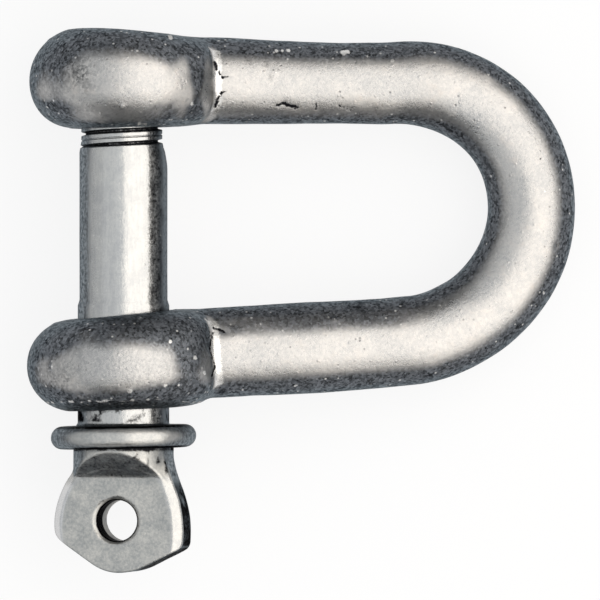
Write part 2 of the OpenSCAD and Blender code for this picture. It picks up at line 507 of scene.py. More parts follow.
class Sculptor:
    """Turns a solid given by its distance field into an even skin."""

    REACH = 0.02
    EVEN_TURNS = 4
    SETTLE_TURNS = 8
    LEAST_STEEP = 0.2
    CORNERS = np.array(list(product((0, 1), repeat=3)))
    EDGES = ((0, 1), (2, 3), (4, 5), (6, 7), (0, 2), (1, 3), (4, 6), (5, 7), (0, 4), (1, 5), (2, 6), (3, 7))

    def __init__(self, solid: Field, step: float) -> None:
        """Keeps the field and the spacing of the skin's points in millimetres."""
        self.solid = solid
        self.step = step

    def skin(self, low: Sequence[float], high: Sequence[float]) -> Skin:
        """Wraps the solid in quads.

        Args:
            low: lowest corner of the space that holds it.
            high: highest corner.

        Returns:
            The skin, settled on the solid's surface.
        """
        low_corner = np.array(low, float)
        counts = np.ceil((np.array(high) - low_corner) / self.step).astype(int) + 1
        axes = [low_corner[i] + self.step * np.arange(counts[i]) for i in range(3)]
        grid = np.stack(np.meshgrid(*axes, indexing="ij"), -1).reshape(-1, 3)
        level = self.solid(grid).reshape(counts)
        cells = counts - 1
        around = np.stack([level[c[0]:c[0] + cells[0], c[1]:c[1] + cells[1], c[2]:c[2] + cells[2]]
                           for c in self.CORNERS], -1)
        inside = (around < 0).sum(-1)
        active = np.argwhere((inside > 0) & (inside < 8))
        points = self._cell_points(active, around[tuple(active.T)]) * self.step + low_corner
        index = np.full(cells, -1)
        index[tuple(active.T)] = np.arange(len(active))
        quads = self._quads(level < 0, index, counts)
        return Skin(self._settled(points, quads), quads)

    def _cell_points(self, active: Array, corners: Array) -> Array:
        """Middle of the crossings on each cell's edges.

        Args:
            active: cells that the surface crosses.
            corners: the field at their corners.

        Returns:
            A point for each cell, in grid steps.
        """
        total = np.zeros((len(active), 3))
        number = np.zeros(len(active))
        for a, b in self.EDGES:
            first, second = corners[:, a], corners[:, b]
            crosses = (first < 0) != (second < 0)
            part = np.where(crosses, first / np.where(crosses, first - second, 1.0), 0.0)[:, None]
            spot = self.CORNERS[a] + part * (self.CORNERS[b] - self.CORNERS[a])
            total += np.where(crosses[:, None], spot, 0.0)
            number += crosses
        return active + total / number[:, None]

    @staticmethod
    def _quads(solid: Array, index: Array, counts: Array) -> Array:
        """Joins the points of the four cells around each crossed grid edge.

        Args:
            solid: whether each grid point is inside.
            index: number of each cell's point.
            counts: grid points on each axis.

        Returns:
            The quads, facing outwards.
        """
        found = []
        for axis in range(3):
            u, v = (axis + 1) % 3, (axis + 2) % 3
            near = np.take(solid, np.arange(counts[axis] - 1), axis)
            far = np.take(solid, np.arange(1, counts[axis]), axis)
            at = np.argwhere(near != far)
            for other in (u, v):
                at = at[(at[:, other] > 0) & (at[:, other] < counts[other] - 1)]
            ring = []
            for du, dv in ((-1, -1), (0, -1), (0, 0), (-1, 0)):
                cell = at.copy()
                cell[:, u] += du
                cell[:, v] += dv
                ring.append(index[tuple(cell.T)])
            quads = np.stack(ring, -1)
            outwards = near[tuple(at.T)]
            quads[~outwards] = quads[~outwards][:, ::-1]
            found.append(quads)
        return np.concatenate(found)

    def normals(self, points: Array) -> Array:
        """Outward direction of the field at points.

        Args:
            points: places in millimetres.

        Returns:
            The unnormalised gradient.
        """
        sides = []
        for axis in range(3):
            shift = np.zeros(3)
            shift[axis] = self.REACH
            sides.append((self.solid(points + shift) - self.solid(points - shift)) / (2.0 * self.REACH))
        return np.stack(sides, -1)

    def _settled(self, points: Array, quads: Array) -> Array:
        """Evens out the points and brings them onto the surface.

        Args:
            points: rough points of the skin.
            quads: the skin's quads.

        Returns:
            The settled points.
        """
        ends = np.concatenate([quads[:, [i, (i + 1) % 4]] for i in range(4)])
        number = sum(np.bincount(ends[:, i], minlength=len(points)) for i in range(2))
        for turn in range(self.SETTLE_TURNS):
            if turn < self.EVEN_TURNS:
                total = np.stack([np.bincount(ends[:, 0], points[ends[:, 1], k], len(points))
                                  + np.bincount(ends[:, 1], points[ends[:, 0], k], len(points))
                                  for k in range(3)], -1)
                points = 0.5 * points + 0.5 * total / number[:, None]
            slope = self.normals(points)
            steep = np.maximum((slope * slope).sum(-1), self.LEAST_STEEP)
            points = points - slope * (self.solid(points) / steep)[:, None]
        return points


@dataclass(frozen=True)
class ScrewThread:
    """A right-hand rolled thread along the pin, with a faint seam along its blunt crest."""

    pitch: float = 1.5
    root_r: float = 4.3
    depth: float = 0.5
    tapped_clear: float = 0.06
    tapped_depth: float = 0.4
    crest: float = 0.33
    painted_shade: float = 0.43
    seam: float = 0.3
    phase: float = 0.49

    def height(self, x: Array, y: Array, z: Array) -> Array:
        """Share of the thread's depth at places around the pin.

        Args:
            x: across the pin.
            y: along the pin.
            z: across the pin.

        Returns:
            1 on a crest and 0 in a root.
        """
        turn = (y + self.phase) / self.pitch - np.arctan2(x, z) / (2.0 * math.pi)
        off = np.abs(turn - np.round(turn))
        ridge = eased(off, ((self.crest, 1.0), (self.painted_shade, 0.0)))
        return ridge - self.seam * eased(off, ((0.0, 1.0), (0.07, 0.0)))


@dataclass
class Arm:
    """One straight arm of the bow with its lug.

    The gauge is the bar's diameter and the shift its sideways offset, at distances from the bend.
    A lug's half thickness, the offset of its middle, the squareness of its rim and the shift of the painted
    shade on it are given at distances towards the bend, and the shift of the arm's painted shade at
    distances outwards.
    """

    side: int
    lean: float
    gauge: Knots
    shift: Knots
    lug_half: Knots
    lug_mid: Knots
    lug_square: Knots
    lug_stretch: float
    lug_shade_shift: Knots
    side_shade_shift: Knots
    hole_r: float

    @property
    def angle(self) -> float:
        """Lean in radians."""
        return math.radians(self.lean)

    def along(self, cx: Array, y: Array) -> Array:
        """Distance from the end of the bend towards the lug."""
        return -math.cos(self.angle) * cx + self.side * math.sin(self.angle) * y

    def outward(self, cx: Array, y: Array, bend_r: float) -> Array:
        """Distance outwards from the middle of the bar."""
        return math.sin(self.angle) * cx + self.side * math.cos(self.angle) * y - bend_r


@dataclass(frozen=True)
class Flaw:
    """A short forging crack on the upper side of the bow, in the plane of the bow."""

    start: tuple[float, float]
    end: tuple[float, float]
    width: float
    depth: float
    scar: float


@dataclass(frozen=True)
class Spot:
    """A round spot at a place on the upper side of the bow."""

    place: tuple[float, float]
    size: float
    level: float


@dataclass
class Bow:
    """The forged dee with its two lugs.

    The wander is the bend's offset at angles around it. The skin within even_r of the pin's axis stays
    even. A painted highlight lies in the crease between bar and lug, within crease_glow of both and
    above crease_top. The ring is a broken one of raised zinc beads with a painted highlight, around
    the outer mouth of the plain hole.
    """

    bar_d: float = 10.0
    bend_r: float = 14.8
    pin_to_bend: float = 32.0
    lug_r: float = 11.0
    lug_t: float = 10.9
    wander: Knots = ((-86.0, -0.2), (-60.0, -0.43), (40.0, 0.34), (85.0, 0.0))
    crease: float = 0.4
    mouth: float = 0.45
    step: float = 0.295
    space: tuple[Corner, Corner] = ((-11.6, -23.2, -11.6), (52.4, 21.5, 11.6))
    seed: int = 11
    waviness: float = 0.045
    pit_seed: int = 5
    pit_count: int = 160
    even_r: float = 6.2
    crease_glow: Span = (0.7, 1.0)
    crease_top: float = 3.6
    thread: ScrewThread = ScrewThread()
    threaded: Arm = field(default_factory=lambda: Arm(
        side=1,
        lean=0.4,
        gauge=((-6.0, 9.95), (2.0, 9.3), (10.0, 9.28), (21.0, 9.83)),
        shift=((0.0, 0.0), (3.0, -0.12), (12.0, -0.12), (20.0, 0.0)),
        lug_half=((-5.0, 5.7), (9.0, 5.1)),
        lug_mid=((-10.7, -0.15), (-5.0, 0.12), (9.0, -0.1)),
        lug_square=((5.0, 2.0), (10.0, 2.8)),
        lug_stretch=1.026,
        lug_shade_shift=((-10.6, -0.30), (-7.9, 0.02), (-5.5, -0.04), (-3.0, 0.02),
                  (4.0, 0.04), (5.8, -0.1), (7.4, 0.1), (9.2, -0.4)),
        side_shade_shift=((-5.2, -0.3), (-3.2, -0.06), (-2.0, -0.12), (0.5, 0.0), (3.0, 0.08)),
        hole_r=5.4))
    plain: Arm = field(default_factory=lambda: Arm(
        side=-1,
        lean=3.6,
        gauge=((-6.0, 10.0), (2.0, 10.2), (12.0, 10.38), (21.0, 10.2)),
        shift=((0.0, -0.2), (4.0, -0.08), (12.0, -0.06), (19.0, -0.2)),
        lug_half=((-9.0, 5.2), (9.0, 5.56)),
        lug_mid=((-9.0, 0.2), (9.0, 0.1)),
        lug_square=((3.0, 2.0), (9.5, 2.9)),
        lug_stretch=1.0,
        lug_shade_shift=((-10.6, -0.30), (-8.3, -0.10), (-5.5, -0.09), (-3.0, 0.02),
                  (4.0, 0.05), (6.0, 0.14), (9.7, -0.35)),
        side_shade_shift=((-4.4, -0.04), (-2.4, 0.15), (0.0, 0.02), (2.2, -0.04), (3.3, 0.03)),
        hole_r=5.6))
    ring_r: float = 8.9
    ring_w: float = 0.3
    ring_deep: float = 2.4
    ring_rise: float = 0.1
    flaws: Sequence[Flaw] = (
        Flaw((17.0, 12.1), (17.9, 12.35), 0.3, 0.03, 1.0),
        Flaw((17.9, 12.3), (19.4, 11.85), 0.42, 0.04, 1.05),
        Flaw((21.55, 12.3), (21.7, 11.7), 0.3, 0.03, 1.0),
        Flaw((24.2, 12.1), (25.6, 11.5), 0.4, 0.02, 0.85),
        Flaw((9.9, 17.0), (10.2, 16.1), 0.34, 0.06, 1.05),
        Flaw((10.2, 16.1), (10.75, 15.2), 0.32, 0.05, 1.0),
        Flaw((10.6, 15.3), (11.4, 15.3), 0.26, 0.02, 0.9),
        Flaw((10.0, 11.9), (10.3, 12.8), 0.36, 0.06, 1.05),
        Flaw((10.3, 12.8), (10.7, 13.6), 0.3, 0.05, 1.0),
        Flaw((10.6, 13.5), (11.4, 13.75), 0.24, 0.02, 0.9),
        Flaw((9.9, -13.1), (11.1, -13.6), 0.34, 0.05, 1.0),
        Flaw((9.7, -13.6), (9.2, -15.4), 0.3, 0.05, 0.95),
        Flaw((9.2, -15.4), (9.8, -17.2), 0.3, 0.05, 0.95),
        Flaw((9.9, -17.4), (9.5, -18.6), 0.36, 0.06, 1.0),
        Flaw((8.9, -14.5), (9.3, -14.0), 0.5, 0.0, 0.8),
    )
    pitted: Sequence[Spot] = (
        Spot((-6.2, 15.4), 3.2, 0.24),
        Spot((-6.3, 15.9), 1.4, 0.6),
        Spot((-5.4, 14.4), 1.0, 0.35),
        Spot((-6.6, -17.0), 3.6, 0.18),
        Spot((-7.8, -19.0), 1.2, 0.5),
        Spot((1.5, -20.2), 4.0, 0.2),
        Spot((13.8, 17.2), 0.55, 0.7),
        Spot((15.9, 16.85), 0.5, 0.7),
        Spot((16.3, 15.3), 0.35, 0.5),
    )
    glint_spots: Sequence[Spot] = (
        Spot((17.1, 18.3), 0.3, 0.05),
        Spot((17.8, 18.3), 0.26, 0.05),
        Spot((18.5, 18.35), 0.3, 0.05),
        Spot((24.8, 18.1), 0.45, 0.05),
        Spot((25.3, 18.2), 0.35, 0.05),
        Spot((30.3, 17.2), 0.3, 0.04),
        Spot((6.9, 12.2), 0.3, 0.05),
        Spot((-1.2, 11.9), 0.34, 0.06),
        Spot((4.6, 19.7), 0.4, 0.05),
        Spot((1.0, 9.95), 0.3, 0.05),
        Spot((1.7, 9.9), 0.26, 0.05),
        Spot((-0.4, -20.2), 0.4, 0.06),
        Spot((3.7, -19.6), 0.3, 0.05),
        Spot((7.2, -16.5), 0.34, 0.05),
        Spot((8.4, -18.2), 0.34, 0.05),
        Spot((4.2, -14.7), 0.3, 0.05),
        Spot((9.9, -13.0), 0.3, 0.05),
        Spot((9.9, 15.4), 0.36, 0.0),
        Spot((9.9, 14.6), 0.36, 0.0),
        Spot((9.9, 13.8), 0.36, 0.0),
        Spot((9.9, -14.4), 0.4, 0.0),
        Spot((10.0, -15.3), 0.46, 0.0),
        Spot((10.1, -16.3), 0.42, 0.0),
    )

    @property
    def tilt(self) -> float:
        """Turn about the pin's axis that brings the bend down to the table, in radians."""
        return math.asin((self.lug_r - self.bar_d / 2.0) / (self.pin_to_bend + self.bend_r))

    def lug_face(self, arm: Arm, outside: int) -> float:
        """Place of a lug's face along the pin: 1 outside is the outer face and -1 the inner."""
        middle = self.bend_r / math.cos(arm.angle) + self.pin_to_bend * math.tan(arm.angle)
        return middle + outside * self.lug_t / 2.0 / math.cos(arm.angle)

    def arm_length(self, arm: Arm) -> float:
        """Length from the end of the bend to the middle of the lug."""
        return (self.pin_to_bend + self.bend_r * math.sin(arm.angle)) / math.cos(arm.angle)

    def bar(self, p: Array) -> Array:
        """Distance field of the bent bar.

        Args:
            p: places in millimetres, one a row, in the flat bow's frame.

        Returns:
            Distance to the surface, less than 0 inside.
        """
        x, y, z = p.T
        cx = x - self.pin_to_bend
        middle = np.hypot(cx, y) - self.bend_r - eased(np.degrees(np.arctan2(y, cx)), self.wander)
        gauge = np.full(len(p), self.bar_d)
        past_end = np.full(len(p), -np.inf)
        for arm in (self.threaded, self.plain):
            along = arm.along(cx, y)
            ours = (y * arm.side >= 0.0) & (along > -6.0)
            straight = arm.outward(cx, y, self.bend_r) - eased(along, arm.shift)
            middle = np.where(ours & (along > 0.0), straight, middle)
            gauge = np.where(ours, eased(along, arm.gauge), gauge)
            past_end = np.where(ours, along - self.arm_length(arm), past_end)
        return np.maximum(np.hypot(middle, z) - gauge / 2.0, past_end)

    def lugs(self, p: Array) -> Array:
        """Distance field of the two lugs before they are drilled.

        Args:
            p: places in millimetres, one a row, in the flat bow's frame.

        Returns:
            Distance to the surface, less than 0 inside.
        """
        x, y, z = p.T
        cx = x - self.pin_to_bend
        nearest = np.full(len(p), np.inf)
        for arm in (self.threaded, self.plain):
            u = self.arm_length(arm) - arm.along(cx, y)
            v = arm.outward(cx, y, self.bend_r)
            half = eased(u, arm.lug_half)
            stretched = np.where(u < 0.0, u * arm.lug_stretch, u)
            rim = np.maximum(np.hypot(stretched, z) - (self.lug_r - half), 0.0)
            square = eased(u, arm.lug_square)
            side = np.abs(v - eased(u, arm.lug_mid))
            nearest = np.minimum(nearest, (rim ** square + side ** square) ** (1.0 / square) - half)
        return nearest

    def distance(self, p: Array) -> Array:
        """Distance field of the whole bow.

        Args:
            p: places in millimetres, one a row, in the flat bow's frame.

        Returns:
            Distance to the surface, less than 0 inside.
        """
        x, y, z = p.T
        hole = np.where(y > 0.0, self.threaded.hole_r, self.plain.hole_r) - np.hypot(x, z)
        return shared(joined(self.bar(p), self.lugs(p), self.crease), hole, self.mouth)

    def build(self) -> Skin:
        """Sculpts the bow and marks its forging flaws.

        Returns:
            The skin with its tapped hole.
        """
        sculptor = Sculptor(self.distance, self.step)
        body = sculptor.skin(*self.space)
        slope = sculptor.normals(body.points)
        slope /= np.linalg.norm(slope, axis=1, keepdims=True)
        rough = Unevenness(self.seed)
        lift = self.waviness * (rough.at(body.points, 5.0) + 0.5 * rough.at(body.points + 40.0, 1.9))
        x, y, z = body.points.T
        off_bar = np.maximum(self.bar(body.points), 0.0)
        off_lug = np.maximum(self.lugs(body.points), 0.0)
        beaded = self._bead_ring(body.points, rough)
        scar = np.zeros(len(body.points))
        # Painted highlight in the crease between bar and lug and on the bead ring.
        crease = np.exp(-(off_bar / self.crease_glow[0]) ** 2 - (off_lug / self.crease_glow[1]) ** 2)
        glint = np.maximum(crease * (z > self.crease_top), beaded * 1.3)
        for rise, black, painted_highlight in self._marks(body.points):
            lift = lift + rise
            scar = np.maximum(scar, black)
            glint = np.maximum(glint, painted_highlight)
        lift = np.where(np.hypot(x, z) < self.even_r, 0.0, lift + self.ring_rise * beaded)
        body.points = body.points + slope * lift[:, None]
        body.marks[Mark.SCAR] = scar
        body.marks[Mark.GLINT] = np.clip(glint, 0.0, 1.0)
        # Shifts the painted shade on lugs and arms.
        body.marks[Mark.SHADE_SHIFT] = self._shade_shift(x, y, off_lug)
        body.marks[Mark.PITTED] = self._pitting(x, y) * (z > 0.0)
        return body + self._tapped_wall()

    def _bead_ring(self, points: Array, rough: Unevenness) -> Array:
        """Broken ring of raised zinc beads with a painted highlight around the outer mouth of the plain
        hole.

        Args:
            points: the skin's points.
            rough: the noise that breaks the ring.

        Returns:
            A level from 0 to 1 at each point.
        """
        off = (np.hypot(points[:, 0], points[:, 2]) - self.ring_r) / self.ring_w
        ring = np.exp(-off ** 2) * (0.4 + 0.6 * rough.at(points, 0.6))
        return np.clip(ring, 0.0, 1.0) * (points[:, 1] < self.ring_deep - self.lug_face(self.plain, 1))

    def _shade_shift(self, x: Array, y: Array, off_lug: Array) -> Array:
        """How far the painted shade on the lugs and arms is shifted: it reaches further in above 0 and
        draws back below 0, leaving more painted highlight.

        Args:
            x: towards the bend.
            y: along the pin.
            off_lug: distance from the lugs, 0 on them.

        Returns:
            A level at each point, more than 0 where the painted shade reaches further.
        """
        on_lug = np.clip(1.0 - off_lug / 0.6, 0.0, 1.0)
        cx = x - self.pin_to_bend
        dull = np.zeros(len(x))
        for arm in (self.threaded, self.plain):
            across = eased(arm.outward(cx, y, self.bend_r), arm.side_shade_shift)
            straight = eased(arm.along(cx, y), ((-6.0, 0.0), (3.0, 1.0)))
            level = on_lug * eased(x, arm.lug_shade_shift) + straight * across
            dull = np.where(y * arm.side > 0.0, level, dull)
        return dull

    def _pitting(self, x: Array, y: Array) -> Array:
        """Dark pitting around the pitted spots, from 0 to 1 at each point."""
        spots = [p.level * np.exp(-((x - p.place[0]) ** 2 + (y - p.place[1]) ** 2) / p.size ** 2)
                 for p in self.pitted]
        return np.clip(sum(spots), 0.0, 1.0)

    def _marks(self, points: Array) -> Sequence[tuple[Array, Array, Array]]:
        """The named cracks and glint spots, and small pits and beads of zinc all over, the raised beads
        with a painted glint.

        Args:
            points: the skin's points.

        Returns:
            A rise, a blackness and a painted highlight at each point, for each mark.
        """
        found = []
        above = points[:, 2] > 0.0
        none = np.zeros(len(points))
        for flaw in self.flaws:
            start, run = np.array(flaw.start), np.array(flaw.end) - np.array(flaw.start)
            part = np.clip(((points[:, :2] - start) @ run) / (run @ run), 0.0, 1.0)
            off = np.linalg.norm(points[:, :2] - start - part[:, None] * run, axis=1)
            shape = np.exp(-(off / flaw.width) ** 2) * above
            found.append((-flaw.depth * shape, flaw.scar * shape, none))
        for glint_spot in self.glint_spots:
            off = np.linalg.norm(points[:, :2] - np.array(glint_spot.place), axis=1)
            shape = np.exp(-(off / glint_spot.size) ** 2) * above
            found.append((glint_spot.level * shape, none, shape))
        rng = np.random.default_rng(self.pit_seed)
        for spot in points[rng.integers(0, len(points), self.pit_count)]:
            shape = np.exp(-((points - spot) ** 2).sum(1) / rng.uniform(0.26, 0.5) ** 2)
            rise = rng.uniform(-0.08, 0.08)
            # Sunk lumps are darkened pits; raised ones get a painted glint.
            found.append((rise * shape, shape * (rise < -0.02) * 0.8, shape * (rise > 0.05) * 0.7))
        return found

    def _tapped_wall(self) -> Skin:
        """Thread cut in the wall of the threaded lug's hole.

        Returns:
            A helical sleeve just inside the hole.
        """
        inset, lead_in, lap = 0.4, 0.7, 0.12
        round_about = np.linspace(0.0, 2.0 * math.pi, 73)
        low, high = self.lug_face(self.threaded, -1) + inset, self.lug_face(self.threaded, 1) - inset
        along = np.linspace(low, high, 110)
        theta, y = np.meshgrid(round_about, along)
        x, z = np.sin(theta), np.cos(theta)
        from_end = (high - low) / 2.0
        mouth = np.clip((np.abs(y - (low + high) / 2.0) - from_end + lead_in) / lead_in, 0.0, 1.0)
        crest_r = self.thread.root_r + self.thread.depth + self.thread.tapped_clear
        cut = crest_r + self.thread.tapped_depth * self.thread.height(x, y, z)
        r = cut + (self.threaded.hole_r + lap - cut) * mouth
        points = np.stack([r * x, y, r * z], -1).reshape(-1, 3)
        # The wall carries the soil mark as painted shade inside the hole.
        return Skin(points, grid_quads(len(along), len(round_about), True),
                    {Mark.SOIL_AND_SHADE: np.full(len(points), 0.25)})

    def dress(self) -> bpy.types.Object:
        """Makes the bow's piece and hangs it on its body.

        Returns:
            The piece.
        """
        piece = self.build().object("galvanised_bow", self.tilt, GalvanisedForging().material())
        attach(piece, "bow")
        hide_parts("bow")
        return piece


def grid_quads(rows: int, columns: int, inwards: bool = False) -> Array:
    """Quads of a grid of points, row by row.

    Args:
        rows: number of rows.
        columns: points in a row.
        inwards: whether the quads face the other way.

    Returns:
        The quads.
    """
    at = np.arange(rows * columns).reshape(rows, columns)
    quads = np.stack([at[:-1, :-1], at[:-1, 1:], at[1:, 1:], at[1:, :-1]], -1).reshape(-1, 4)
    return quads[:, ::-1] if inwards else quads


@dataclass(frozen=True)
class EyeSide:
    """One side of the pin's eye.

    It has a half width, the radius and the widest place of its edge, and the slope and the radius
    of its way to the tip.
    """

    half_w: float
    side_r: float
    widest: float
    tip_slope: float
    tip_r: float


@dataclass
class ScrewPin:
    """The one-piece pin: thread, shank, collar and flat eye.

    The worn flat lies beside the shoulder. The grime and painted shade on the root fade out at
    root_mark_end along the pin.
    Sizes across the eye start at its middle, and the hole lies eye_off from there.
    """

    bow: Bow
    backed_off: float = 1.25
    seat_clear: float = 0.3
    tip_inset: float = 0.3
    shoulder_taper: float = 1.2
    runout: float = 0.75
    root_proud: float = 0.8
    thread_r: float = 4.8
    shank_r: float = 5.0
    root_r: float = 5.2
    worn: float = 0.4
    collar_r: float = 8.25
    collar_t: float = 2.6
    collar_cant: float = 0.02
    neck_r: float = 5.7
    ramp_start: float = 0.4
    ramp_end: float = 3.3
    eye_len: float = 14.1
    eye_half_t: float = 2.5
    left: EyeSide = EyeSide(half_w=7.68, side_r=9.6, widest=8.8, tip_slope=34.6, tip_r=5.3)
    right: EyeSide = EyeSide(half_w=7.5, side_r=14.0, widest=9.6, tip_slope=26.0, tip_r=7.0)
    eye_off: float = -0.17
    bevel_w: float = 0.95
    bevel_t: float = 0.72
    hole_r: float = 2.35
    hole_s: float = 8.2
    hole_chamfer: float = 0.4
    turn: float = 22.0
    edge: float = 0.16
    fillet_r: float = 0.35
    collar_flat_r: float = 6.2
    collar_swell: float = 0.07
    shank_swell: float = 0.012
    root_mark_end: float = -19.0
    columns: int = 145
    shank_seed: int = 23
    step: float = 0.16
    eye_space: tuple[Corner, Corner] = ((-8.2, -0.9, -6.2), (8.2, 14.6, 6.2))
    eye_seed: int = 31
    thread: ScrewThread = ScrewThread()

    @property
    def seat_y(self) -> float:
        """Place of the collar's seat along the pin."""
        flat_r = self.bow.lug_r - self.bow.lug_t / 2.0
        gap = self.backed_off + flat_r * math.tan(self.bow.plain.angle) + self.seat_clear
        return -self.bow.lug_face(self.bow.plain, 1) - gap

    @property
    def tip_y(self) -> float:
        """Place of the tip of the thread along the pin."""
        return self.bow.lug_face(self.bow.threaded, 1) - self.backed_off - self.tip_inset

    @property
    def shoulder_y(self) -> float:
        """Place where the thread ends at the shank."""
        return self.bow.lug_face(self.bow.threaded, -1) - self.backed_off - self.seat_clear

    @property
    def root_y(self) -> float:
        """Place where the thicker root of the shank ends."""
        return self.root_proud - self.bow.lug_face(self.bow.plain, -1)

    def side(self, u: Array, s: Array) -> Array:
        """Distance to the eye's curved sides, at u across it and s away from the collar."""
        edges = [np.hypot(np.abs(u) + e.side_r - e.half_w, s - e.widest) - e.side_r
                 for e in (self.left, self.right)]
        return np.where(u < 0.0, edges[0], edges[1])

    def tip(self, u: Array, s: Array) -> Array:
        """Distance to the eye's rounded point.

        Args:
            u: across the eye.
            s: away from the collar.

        Returns:
            Distance, less than 0 inside.
        """
        tip_r = np.where(u < 0.0, self.left.tip_r, self.right.tip_r)
        past = s - self.eye_len + tip_r
        slope = np.radians(np.where(u < 0.0, self.left.tip_slope, self.right.tip_slope))
        flat = np.abs(u) * np.sin(slope) + past * np.cos(slope) - tip_r
        return np.where(np.abs(u) < past * np.tan(slope), np.hypot(u, past) - tip_r, flat)

    def bevel(self, u: Array, s: Array, w: Array) -> Array:
        """Distance to the bevels along the eye's sides, with w through the eye."""
        deep = self.side(u, s) * self.bevel_t + (np.abs(w) - self.eye_half_t) * self.bevel_w
        return (deep + self.bevel_w * self.bevel_t) / math.hypot(self.bevel_w, self.bevel_t)

    def head(self, p: Array) -> Array:
        """Distance field of the neck and the eye.

        Args:
            p: places across the eye, away from the collar and through the eye.

        Returns:
            Distance to the surface, less than 0 inside.
        """
        u, s, w = p.T
        across = u - self.eye_off
        outline = shared(self.side(u, s), self.tip(u, s), 0.6)
        face = np.abs(w) - self.eye_half_t
        plate = shared(shared(outline, face, self.edge), self.bevel(u, s, w), self.edge)
        rise, run = self.ramp_end - self.ramp_start, self.neck_r - self.eye_half_t
        ramp = ((np.abs(w) - self.neck_r) * rise + (s - self.ramp_start) * run) / math.hypot(rise, run)
        neck = shared(np.hypot(u, w) - self.neck_r, ramp, self.edge)
        solid = np.maximum(joined(neck, plate, eased(u, ((3.0, 0.35), (5.6, 1.0)))), -0.6 - s)
        hole = self.hole_r - np.hypot(across, s - self.hole_s)
        sink = (hole + self.hole_chamfer + np.abs(w) - self.eye_half_t) / math.sqrt(2.0)
        return shared(shared(solid, hole, 0.1), sink, 0.1)

    def _outline(self) -> Array:
        """Half section of the lathed part, from the tip of the thread to the collar's outer face.

        Returns:
            Radius and place along the pin, one point a row.
        """
        edge = self.collar_t / 2.0
        quarter = math.pi / 2.0
        round_edge = [(self.collar_r - edge + edge * math.cos(a), self.seat_y - edge + edge * math.sin(a))
                      for a in np.linspace(quarter, -quarter, 19)]
        fillet = [(self.root_r + self.fillet_r * (1.0 - math.sin(a)),
                   self.seat_y + self.fillet_r * (1.0 - math.cos(a))) for a in np.linspace(quarter, 0.0, 7)]
        shank_y = self.shoulder_y - self.shoulder_taper
        outer_y = self.seat_y - self.collar_t
        return np.array([
            *((r, self.tip_y) for r in (AXIS_R, 1.2, 2.4, 3.3)),
            (3.7, self.tip_y - 0.02), (3.85, self.tip_y - 0.1), (4.3, self.tip_y - 0.5),
            *((self.thread_r, y) for y in np.arange(self.tip_y - 0.95, self.shoulder_y, -0.06)),
            *zip(np.linspace(self.thread_r, self.shank_r, 21), np.linspace(self.shoulder_y, shank_y, 21)),
            *((self.shank_r, y) for y in np.linspace(shank_y - 0.2, self.root_y + 0.8, 60)),
            (self.shank_r, self.root_y + 0.62), (self.shank_r + 0.1, self.root_y + 0.3),
            (self.root_r, self.root_y),
            *((self.root_r, y) for y in np.linspace(self.root_y - 0.4, self.seat_y + 0.6, 24)),
            *fillet, (self.collar_flat_r, self.seat_y),
            *round_edge, (self.collar_flat_r, outer_y), (AXIS_R, outer_y),
        ])

    def _shank(self) -> Skin:
        """Lathed part of the pin, with its thread.

        Returns:
            The skin from the tip of the thread to the collar's outer face.
        """
        profile = self._outline()
        round_about = np.linspace(0.0, 2.0 * math.pi, self.columns)
        theta, row = np.meshgrid(round_about, np.arange(len(profile)))
        r, y = profile[row, 0], profile[row, 1]
        x, z = np.sin(theta), np.cos(theta)
        fade = np.clip((y - self.shoulder_y + self.runout) / 0.3, 0.0, 1.0) * (r > 3.75)
        groove = self.thread.depth * (1.0 - self.thread.height(x, y, z)) * fade
        wear = self.worn * np.maximum(x, 0.0) ** 5 * eased(y, (
            (self.shoulder_y - 3.2, 0.0), (self.shoulder_y, 1.0), (self.shoulder_y + 2.0, 1.0),
            (self.shoulder_y + 4.5, 0.0)))
        uneven = Unevenness(self.shank_seed)
        flat = np.stack([r * x, y, r * z], -1).reshape(-1, 3)
        on_collar = y < self.seat_y + 0.05
        swell = on_collar * self.collar_swell + self.shank_swell
        swell = uneven.at(flat, 3.2).reshape(r.shape) * swell * (r > 4.0)
        r = np.maximum(r - groove - wear + swell, AXIS_R)
        blotches = (uneven.at(flat, 1.3) + 0.5 * uneven.at(flat, 0.6)).reshape(r.shape)
        # Painted shade in the thread roots, with the grime and painted shade from the root, one side and
        # the collar's lips.
        soil = np.maximum(np.clip(groove / self.thread.depth, 0.0, 1.0) * 0.55,
                          self._shank_grime_and_shade(r, np.stack([x, y, z]), blotches))
        y = y + self.collar_cant * r * x * on_collar
        satin = eased(y, ((self.seat_y - 0.2, 0.7), (self.seat_y + 0.3, 0.0)))
        points = np.stack([r * x, y, r * z], -1).reshape(-1, 3)
        return Skin(points, grid_quads(len(profile), len(round_about)), {
            Mark.SOIL_AND_SHADE: soil.reshape(-1),
            Mark.SATIN: satin.reshape(-1),
            # A faint painted glint on the collar.
            Mark.GLINT: 0.05 * on_collar.reshape(-1),
        })

    def _shank_grime_and_shade(self, r: Array, place: Array, blotches: Array) -> Array:
        """Grime and painted shade on the root, and painted shade on the side facing the bend and along the
        collar's lips.

        Args:
            r: radius at each point.
            place: direction across, place along and direction up, each an array like r.
            blotches: blots of noise at each point.

        Returns:
            A level at each point.
        """
        x, y, z = place
        edge = self.collar_t / 2.0
        on_root = eased(y, ((self.seat_y, 0.0), (self.seat_y + 0.7, 1.0), (self.seat_y + 2.2, 1.0),
                            (self.root_mark_end, 0.0)))
        # Root between collar and lug: grime blotches, and painted shade towards its sides.
        root = np.clip(blotches + 0.05 + 0.3 * eased(np.abs(x), ((0.4, 0.0), (0.7, 1.0))), 0.0, 0.6)
        # Painted shade along the shank on its side facing the bend.
        shaded_side = eased(x, ((0.37, 0.0), (0.57, 1.0), (0.74, 1.0), (0.93, 0.5)))
        shaded_side = shaded_side * eased(z, ((-0.6, 0.0), (0.0, 1.0)))
        shaded_side = shaded_side * (y > self.seat_y + 0.1) * (y < self.shoulder_y + self.thread.pitch)
